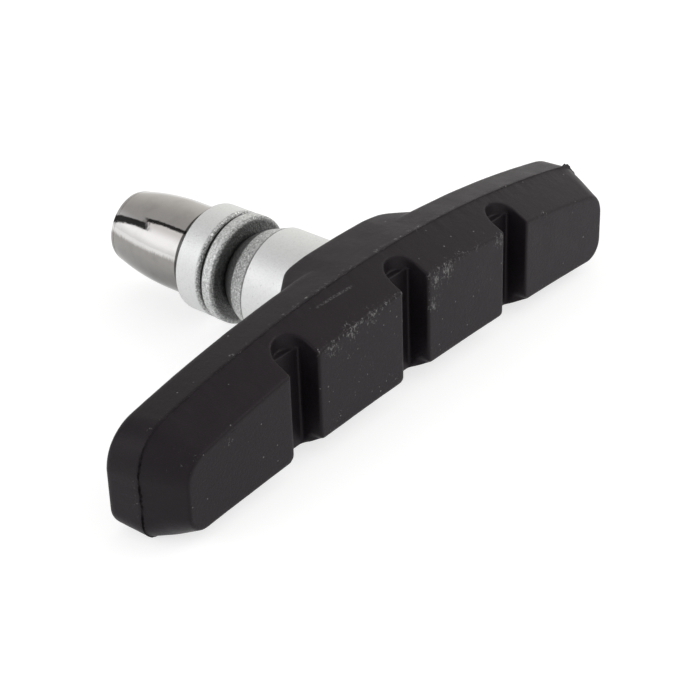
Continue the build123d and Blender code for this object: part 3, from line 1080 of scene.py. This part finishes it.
def make_outer_cup(settings):
    """Thick satin cup with a granular front chamfer, hollowed for the ball washer."""
    hardware = settings.hardware
    low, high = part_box("outer_cup_washer")
    seat_radius, centre = outer_seat(hardware)
    slot = low.y + hardware.washer_slot
    shoulder = slot + hardware.outer_chamfer
    shoulder_round = 0.15 * MM
    corners = [
        (hardware.swivel_bore, low.y, 0.0),
        (hardware.outer_mouth, low.y, hardware.crisp_edge),
        (hardware.outer_mouth, slot, 0.0),
        (high.x - hardware.outer_chamfer, slot, hardware.crisp_edge),
        (high.x, shoulder, shoulder_round),
        (high.x, high.y, hardware.outer_round),
        *ball_points(centre, seat_radius, hardware.outer_mouth, hardware.swivel_bore, -1),
    ]

    def finish(graph, place):
        y = graph.axes(place)[1]
        chamfer = graph.ease(y, shoulder / MM + 0.25, shoulder / MM - 0.1)
        gap_shade = graph.ease(y, slot / MM + 0.25, slot / MM)
        # Coarse on the front chamfer; painted shade in the slot and round the rear rim
        return chamfer, gap_shade * 0.8 + rear_rim(graph, place, high, 0.24) * 0.9

    make_washer(settings, "outer_cup_turned", "outer_cup_washer", corners, "satin_cup", finish)


def make_ball_washer(settings):
    """Thin ball washer between the outer cup and the nut, darkened all over with painted shade."""
    hardware = settings.hardware
    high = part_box("outer_ball_washer")[1]
    centre = outer_seat(hardware)[1]
    corners = [
        (hardware.bore, high.y, 0.0),
        *ball_points(centre, hardware.outer_ball, hardware.bore, high.x, -1),
        (high.x, high.y, hardware.crisp_edge),
    ]

    def finish(graph, place):
        # Painted shade over the whole washer
        return graph.noise(place, 0.5), 0.8

    make_washer(settings, "ball_washer_turned", "outer_ball_washer", corners, "shaded_ball_washer", finish)


# Slope of a drill point, at the end of the nut's bore and in its socket's lead-in
DRILL_POINT = radians(31)


def hexagon_cutter(flats, bottom, top):
    """Upright hexagon about the stud's axis between two places along it."""
    ring = arc((0, 0), flats / sqrt(3), 0, 2 * pi * 5 / 6, 5)
    bm = bmesh.new()
    skin_loops(bm, [[(x, y, z) for x, z in ring] for y in (bottom, top)])
    return new_piece("hexagon_cutter", bm)


def make_nut(settings):
    """Polished bullet-shaped cap nut with a blind bore and a hexagon socket in its tip."""
    hardware = settings.hardware
    low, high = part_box("cap_nut")
    chamfer = hardware.nut_base_chamfer
    start = low.y + hardware.nut_straight
    lean = asin((high.y - start) / hardware.nut_barrel)
    barrel = arc((high.x - hardware.nut_barrel, start), hardware.nut_barrel, 0, lean, 24)
    bore_end = low.y + hardware.nut_bore_depth
    lead = hardware.socket_flats / sqrt(3) + hardware.socket_lead
    corners = [
        (0.0, bore_end + hardware.nut_bore * tan(DRILL_POINT), 0.0),
        (hardware.nut_bore, bore_end, 0.0),
        (hardware.nut_bore, low.y, hardware.crisp_edge),
        (high.x - chamfer, low.y, hardware.crisp_edge),
        (high.x, low.y + chamfer, hardware.crisp_edge),
        *[(r, y, 0.0) for r, y in barrel[:-1]],
        (*barrel[-1], hardware.nut_tip_round),
        (lead, high.y, hardware.crisp_edge),
        (0.0, high.y - lead * tan(DRILL_POINT), 0.0),
    ]
    piece = turned("cap_nut_turned", round_corners(corners, steps=12), polished_chrome(settings, low.y))
    cut(piece, [hexagon_cutter(hardware.socket_flats, high.y - hardware.socket_depth, high.y + OVERRUN)])
    resize(piece, MM)
    finish_piece(piece, "cap_nut", sharp=30)


# Details of the stud: its riveted head, the relief under its thread, and its tip
HEAD_INSET = 0.1 * MM
HEAD_CHAMFER = 0.6 * MM
RELIEF_DEPTH = 0.6 * MM
RELIEF_LENGTH = 1.8 * MM
RELIEF_RAMP = 0.6 * MM
TIP_CHAMFER = 0.7 * MM


def make_stud(settings, material):
    """Stud with a riveted head, a collar, a relief and a cut thread."""
    hardware = settings.hardware
    low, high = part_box("threaded_stud")
    plate_low, plate_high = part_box("backing_plate")
    start = SEAT + RELIEF_LENGTH
    pitch = hardware.thread_pitch
    rows_per_turn = 12
    rows = int((high.y - start) / (pitch / rows_per_turn))

    def thread(r, y, a):
        if y < start - 1e-9 or r < hardware.stud_radius * 0.9:
            return r
        flank = abs(2 * ((y / pitch - a / (2 * pi)) % 1.0) - 1)
        bite = min(1.0, max(0.0, (flank - 0.15) / 0.7))
        fade = min(1.0, (y - start) / pitch, max(0.0, (high.y - y) / (0.5 * pitch)))
        return r - hardware.thread_depth * bite * fade

    head = high.x - HEAD_INSET
    relief = hardware.stud_radius - RELIEF_DEPTH
    line = [
        (0.0, low.y),
        (head - HEAD_CHAMFER, low.y),
        (head, low.y + HEAD_CHAMFER),
        (head, plate_low.y),
        (hardware.stud_radius, plate_low.y),
        (hardware.stud_radius, plate_high.y),
        (high.x, plate_high.y),
        (high.x, SEAT),
        (relief, SEAT),
        (relief, start - RELIEF_RAMP),
    ]
    for i in range(rows + 1):
        y = start + (high.y - start) * i / rows
        line.append((min(hardware.stud_radius, hardware.stud_radius - TIP_CHAMFER + high.y - y), y))
    line.append((0.0, high.y))
    piece = turned("stud_turned", line, material, segments=96, shape=thread)
    finish_piece(piece, "threaded_stud", sharp=40)


# Studio

FLOOR_REACH = 4.0
FLOOR_SHADE = (0.42, 0.42, 0.42, 1.0)
WHITE = (1.0, 1.0, 1.0, 1.0)
COOL_LIGHT = (1.0, 0.99, 1.0, 1.0)
WARM_LIGHT = (1.0, 0.985, 0.95, 1.0)

# Edge of the tent's white wall in directions from the pad: x is a slope times y less a start, on a near
# run and a far one, with a step between them that leans with x
NEAR_RUN = (0.25, 0.525)
FAR_RUN = (0.98, 1.265)
STEP_LEAN = 0.2
STEP = (0.811, 0.841)

# Width of the seam on the near run, what the far run adds to it, and how much the edge wanders
SEAM_WIDTH = 0.116
SEAM_GAIN = 0.03
EDGE_WANDER = 0.07


def make_camera(studio):
    """Camera at the photograph's angle."""
    a, e, roll = studio.azimuth, studio.elevation, studio.roll
    right = Vector((cos(a), sin(a), 0))
    back = Vector((sin(a) * cos(e), -cos(a) * cos(e), sin(e)))
    up = back.cross(right)
    right, up = right * cos(roll) + up * sin(roll), up * cos(roll) - right * sin(roll)
    data = bpy.data.cameras.new("camera")
    data.sensor_width = 36.0
    data.lens = studio.lens
    data.clip_start = 0.005
    camera = bpy.data.objects.new("camera", data)
    pose = Matrix((right, up, back)).transposed().to_4x4()
    pose.translation = studio.eye
    camera.matrix_world = pose
    bpy.context.scene.collection.objects.link(camera)
    bpy.context.scene.camera = camera


def floor_material(studio):
    """Pale floor that keeps soft shadows and is white to the camera and in reflections."""
    material, graph = new_material("studio_floor")
    path = graph.add("ShaderNodeLightPath", output="Is Camera Ray")
    seen = path.at_least(path.out("Is Glossy Ray")).at_least(path.out("Is Transmission Ray"))
    tone = graph.noise(graph.position(), 0.02, 2.0)
    paper = graph.mix(tone * 0.04, studio.floor_colour, FLOOR_SHADE)
    matt = graph.add("ShaderNodeBsdfDiffuse", inputs={"Color": paper})
    glow = graph.add("ShaderNodeEmission", inputs={"Color": WHITE, "Strength": seen * studio.floor_glow})
    graph.surface(graph.add("ShaderNodeAddShader", inputs={0: matt, 1: glow}))
    return material


def make_floor(studio):
    """Wide pale floor under the pad."""
    bm = bmesh.new()
    bmesh.ops.create_grid(bm, x_segments=1, y_segments=1, size=FLOOR_REACH)
    floor = new_piece("studio_floor", bm, floor_material(studio))
    floor.location.z = CAD_BOX[0].z


def make_tent(studio):
    """World light: a pale tent with a white wall under a dark, stepped seam."""
    world = bpy.data.worlds.new("tent")
    world.use_nodes = True
    bpy.context.scene.world = world
    graph = Graph(world.node_tree)
    direction = graph.add("ShaderNodeTexCoord", output="Generated")
    x, y, z = graph.axes(direction)

    step = graph.ease(y - x * STEP_LEAN, *STEP)
    near, far = (y * slope - start for slope, start in (NEAR_RUN, FAR_RUN))
    edge = near + (far - near) * step
    leftward = edge - x + (graph.noise(direction, 45.0, 3.0) - 0.5) * EDGE_WANDER
    wall = graph.ease(leftward, 0.0, 0.015) * graph.ease(y, 0.38, 0.48)
    width = SEAM_WIDTH + step * SEAM_GAIN
    seam = graph.ease(leftward + width, -0.01, 0.01) * graph.ease(leftward, 0.005, -0.01)
    seam = seam * graph.ease(y, 0.57, 0.62) * graph.ease(z, 0.04, 0.12)

    grey = studio.tent * (0.78 + 0.52 * graph.ease(x, 0.0, 1.0))
    grey = grey + (1.0 - grey) * graph.ease(z, 0.10, 0.02)
    lit = 1.0 + (studio.wall - 1.0) * graph.ease(z, 0.0, 0.25)
    bright = grey + (lit - grey) * wall
    bright = bright + (studio.seam - bright) * seam
    tint = graph.mix(graph.ease(x, -0.4, 0.8), COOL_LIGHT, WARM_LIGHT)
    sky = graph.add("ShaderNodeBackground", inputs={"Color": tint, "Strength": bright})
    graph.add("ShaderNodeOutputWorld", inputs={"Surface": sky})


def make_softbox(name, place, width, height, power):
    """Area lamp that faces the pad."""
    data = bpy.data.lights.new(name, "AREA")
    data.shape = "RECTANGLE"
    data.size = width
    data.size_y = height
    data.energy = power
    lamp = bpy.data.objects.new(name, data)
    lamp.location = place
    lamp.rotation_euler = (-Vector(place)).to_track_quat("-Z", "Y").to_euler()
    bpy.context.scene.collection.objects.link(lamp)


# Add-on


class BRAKEPAD_OT_rubber(bpy.types.Operator):
    """Models the rubber block and the flash on its parting line"""

    bl_idname = "brakepad.rubber"
    bl_label = "Rubber Block"

    def execute(self, context):
        settings = context.scene.brake_pad
        material = moulded_rubber(settings)
        make_block(settings, material)
        make_flash(settings, material)
        return {"FINISHED"}


class BRAKEPAD_OT_washers(bpy.types.Operator):
    """Models the spacer, the two cups and the ball washer"""

    bl_idname = "brakepad.washers"
    bl_label = "Swivel Washers"

    def execute(self, context):
        settings = context.scene.brake_pad
        make_spacer(settings)
        make_inner_cup(settings)
        make_outer_cup(settings)
        make_ball_washer(settings)
        return {"FINISHED"}


class BRAKEPAD_OT_nut(bpy.types.Operator):
    """Models the polished cap nut"""

    bl_idname = "brakepad.nut"
    bl_label = "Cap Nut"

    def execute(self, context):
        make_nut(context.scene.brake_pad)
        return {"FINISHED"}


class BRAKEPAD_OT_steel(bpy.types.Operator):
    """Models the threaded stud and finishes the insert plate"""

    bl_idname = "brakepad.steel"
    bl_label = "Stud and Plate"

    def execute(self, context):
        settings = context.scene.brake_pad
        material = plated_steel(settings)
        make_stud(settings, material)
        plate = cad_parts["backing_plate"].data
        plate.materials.clear()
        plate.materials.append(material)
        return {"FINISHED"}


class BRAKEPAD_OT_studio(bpy.types.Operator):
    """Sets up the floor, the light and the camera"""

    bl_idname = "brakepad.studio"
    bl_label = "White Studio"

    def execute(self, context):
        studio = context.scene.brake_pad.studio
        make_camera(studio)
        make_floor(studio)
        make_tent(studio)
        make_softbox("back_softbox", place=(-0.58, 0.22, 0.41), width=0.4, height=0.3, power=0.9)
        make_softbox("front_softbox", place=(0.40, -0.45, 0.45), width=0.5, height=0.4, power=1.4)
        context.scene.view_settings.view_transform = "Standard"
        return {"FINISHED"}


class BRAKEPAD_PT_panel(bpy.types.Panel):
    """Lists the pad's pieces and settings in the sidebar"""

    bl_idname = "BRAKEPAD_PT_panel"
    bl_label = "Rim Brake Pad"
    bl_space_type = "VIEW_3D"
    bl_region_type = "UI"
    bl_category = "Brake Pad"

    def draw(self, context):
        settings = context.scene.brake_pad
        for operator in OPERATORS:
            self.layout.operator(operator.bl_idname)
        for part in settings.__annotations__:
            group = getattr(settings, part)
            box = self.layout.box()
            for name in group.__annotations__:
                box.prop(group, name)


OPERATORS = (
    BRAKEPAD_OT_rubber,
    BRAKEPAD_OT_washers,
    BRAKEPAD_OT_nut,
    BRAKEPAD_OT_steel,
    BRAKEPAD_OT_studio,
)
CLASSES = (
    BlockSizes,
    FlashSizes,
    HardwareSizes,
    Finishes,
    StudioSettings,
    BrakePadSettings,
    *OPERATORS,
    BRAKEPAD_PT_panel,
)


def register():
    """Registers the classes and the scene's settings."""
    for cls in CLASSES:
        bpy.utils.register_class(cls)
    bpy.types.Scene.brake_pad = bpy.props.PointerProperty(type=BrakePadSettings)


def unregister():
    """Takes the settings and the classes away again."""
    del bpy.types.Scene.brake_pad
    for cls in reversed(CLASSES):
        bpy.utils.unregister_class(cls)


def main():
    """Builds every piece and the studio."""
    register()
    bpy.ops.brakepad.rubber()
    bpy.ops.brakepad.washers()
    bpy.ops.brakepad.nut()
    bpy.ops.brakepad.steel()
    bpy.ops.brakepad.studio()


if __name__ == "__main__":
    main()
